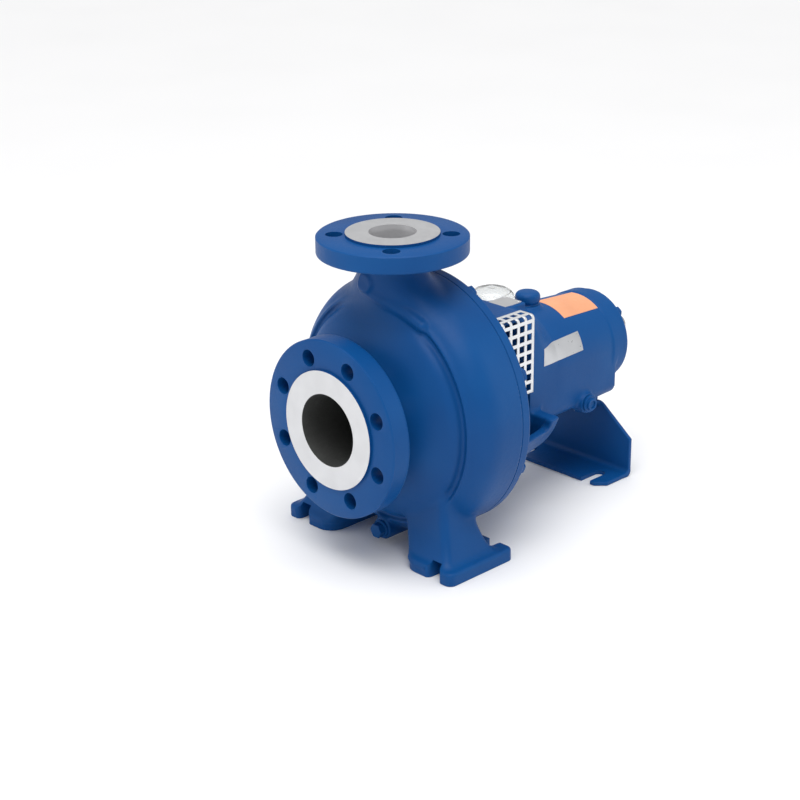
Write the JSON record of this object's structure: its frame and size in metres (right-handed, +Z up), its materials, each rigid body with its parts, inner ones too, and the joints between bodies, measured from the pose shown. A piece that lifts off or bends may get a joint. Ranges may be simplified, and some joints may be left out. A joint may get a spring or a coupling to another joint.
{
  "type": "centrifugal water pump",
  "caption": "End-suction centrifugal pump with volute casing, flanged nozzles, bearing bracket, guarded lantern, oiler and free shaft end.",
  "frame": {"origin": "middle of the overall footprint, on the floor, under the shaft axis", "axes": "+X along the shaft from the suction flange to the drive end, +Z up through the discharge nozzle, +Y to the left seen from the suction end"},
  "size_m": [0.485, 0.296, 0.36],
  "materials": {
    "blue_paint": "satin gentian-blue enamel over cast iron and sheet steel",
    "machined_iron": "bright turned flange faces",
    "cast_iron": "bare grey iron water ways and impeller",
    "steel": "turned bright steel",
    "plate_aluminium": "thin aluminium plate, satin",
    "galvanised_sheet": "perforated galvanised sheet",
    "bronze": "turned bronze",
    "carbon": "lapped carbon",
    "rubber": "moulded nitrile rubber",
    "gasket_sheet": "compressed fibre sheet",
    "clear_plastic": "clear moulded bottle",
    "label_silver": "blank silver film label",
    "label_orange": "blank orange paper sticker"
  },
  "bodies": {
    "pump_frame": {"volute_casing": "blue_paint", "casing_cover": "blue_paint", "casing_gasket": "gasket_sheet", "suction_wear_ring": "bronze", "cover_wear_ring": "bronze", "seal_seat": "carbon", "bearing_bracket": "blue_paint", "inboard_bearing_cover": "blue_paint", "outboard_bearing_cover": "blue_paint", "inboard_lip_seal": "rubber", "outboard_lip_seal": "rubber", "inboard_bearing_outer_ring": "steel", "outboard_bearing_outer_ring": "steel", "guard_near": "galvanised_sheet", "guard_far": "galvanised_sheet", "support_foot": "blue_paint", "drain_plug": "blue_paint", "vent_plug": "blue_paint", "level_plug": "blue_paint", "oiler_elbow": "steel", "rating_plate": "plate_aluminium", "casing_screw_1": "blue_paint", "casing_screw_2": "blue_paint", "casing_screw_3": "blue_paint", "casing_screw_4": "blue_paint", "casing_screw_5": "blue_paint", "casing_screw_6": "blue_paint", "casing_screw_7": "blue_paint", "casing_screw_8": "blue_paint", "inboard_cover_screw_1": "blue_paint", "outboard_cover_screw_1": "blue_paint", "inboard_cover_screw_2": "blue_paint", "outboard_cover_screw_2": "blue_paint", "inboard_cover_screw_3": "blue_paint", "outboard_cover_screw_3": "blue_paint", "inboard_cover_screw_4": "blue_paint", "outboard_cover_screw_4": "blue_paint", "support_foot_screw_1": "blue_paint", "support_foot_screw_2": "blue_paint"},
    "rotor": {"pump_shaft": "steel", "impeller": "cast_iron", "impeller_nut": "steel", "impeller_lock_washer": "steel", "impeller_key": "steel", "coupling_key": "steel", "shaft_sleeve": "steel", "seal_collar": "steel", "seal_spring": "steel", "seal_ring": "carbon", "shaft_thrower": "rubber", "shaft_circlip": "steel", "inboard_bearing_inner_ring": "steel", "outboard_bearing_inner_ring": "steel"},
    "inboard_balls": {"inboard_bearing_ball_set": "steel"},
    "outboard_balls": {"outboard_bearing_ball_set": "steel"},
    "oiler_reservoir": {"oiler_cup": "blue_paint", "oiler_bottle": "clear_plastic"}
  },
  "joints": [
    {"name": "rotor_spin", "type": "hinge", "parent": "pump_frame", "child": "rotor", "pos_m": [-0.1425, 0, 0.16], "axis": [1, 0, 0], "continuous": true},
    {"name": "inboard_cage_spin", "type": "hinge", "parent": "pump_frame", "child": "inboard_balls", "pos_m": [0.046, 0, 0.16], "axis": [1, 0, 0], "continuous": true},
    {"name": "outboard_cage_spin", "type": "hinge", "parent": "pump_frame", "child": "outboard_balls", "pos_m": [0.156, 0, 0.16], "axis": [1, 0, 0], "continuous": true},
    {"name": "oiler_tip", "type": "hinge", "parent": "pump_frame", "child": "oiler_reservoir", "pos_m": [0.1205, 0.0795, 0.13], "axis": [0, 1, 0], "range_deg": [0, 90]}
  ],
  "couplings": [
    {"joint": "inboard_cage_spin", "follows": "rotor_spin", "ratio": 0.374},
    {"joint": "outboard_cage_spin", "follows": "rotor_spin", "ratio": 0.374}
  ]
}
